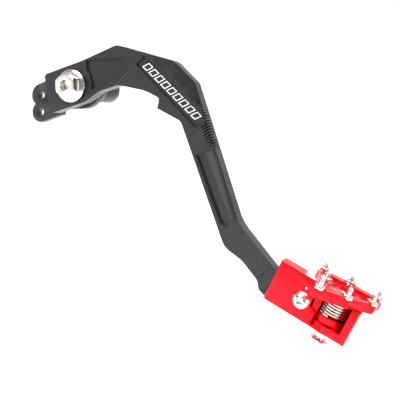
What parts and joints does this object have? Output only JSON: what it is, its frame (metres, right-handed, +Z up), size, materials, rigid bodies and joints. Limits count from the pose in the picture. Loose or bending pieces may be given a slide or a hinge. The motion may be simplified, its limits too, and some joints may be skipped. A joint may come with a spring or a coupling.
{
  "type": "rear brake pedal",
  "caption": "Dog-leg rear brake pedal on a pivot bolt and sleeve, with a push-rod lever and a studded foot tip that folds inboard against a torsion spring.",
  "frame": {"origin": "on the pivot axis, at the face of the sleeve's end collar that seats on the motorcycle frame", "axes": "+X forwards along the tip block, +Y inboard along the pivot axis, +Z up along the tip bolt"},
  "size_m": [0.2557, 0.0675, 0.1062],
  "materials": {
    "black_anodised": "satin black anodised",
    "red_anodised": "satin red anodised",
    "steel": "bright zinc or stainless",
    "bronze": "plain turned",
    "rubber": "matte",
    "nylon": "plain"
  },
  "bodies": {
    "root": {"pivot_bolt": "steel", "pivot_washer": "steel", "pivot_sleeve": "black_anodised"},
    "pedal": {"pedal_arm": "black_anodised", "pivot_tube": "black_anodised", "outer_bush": "bronze", "inner_bush": "bronze", "outer_seal": "rubber", "inner_seal": "rubber", "pushrod_lever": "black_anodised", "tip_holder": "red_anodised", "tip_screw": "steel", "tip_bolt": "steel", "thrust_washer": "steel", "torsion_spring": "steel", "lock_nut": "steel", "nut_insert": "nylon"},
    "cleat": {"cleat_frame": "red_anodised", "spring_collar": "red_anodised", "cleat_bush": "bronze", "cleat_studs": "steel", "stud_nuts": "steel", "stud_washers": "steel"}
  },
  "joints": [
    {"name": "pedal_pivot", "type": "hinge", "parent": "root", "child": "pedal", "pos_m": [0, 0, 0], "axis": [0, 1, 0], "range_deg": [0, 15], "stiffness_Nm_per_rad": 2, "springref_deg": -28.65},
    {"name": "cleat_fold", "type": "hinge", "parent": "pedal", "child": "cleat", "pos_m": [0.203, -0.0363, -0.03], "axis": [0, 0, 1], "range_deg": [0, 37], "stiffness_Nm_per_rad": 0.35, "springref_deg": -40.11}
  ]
}
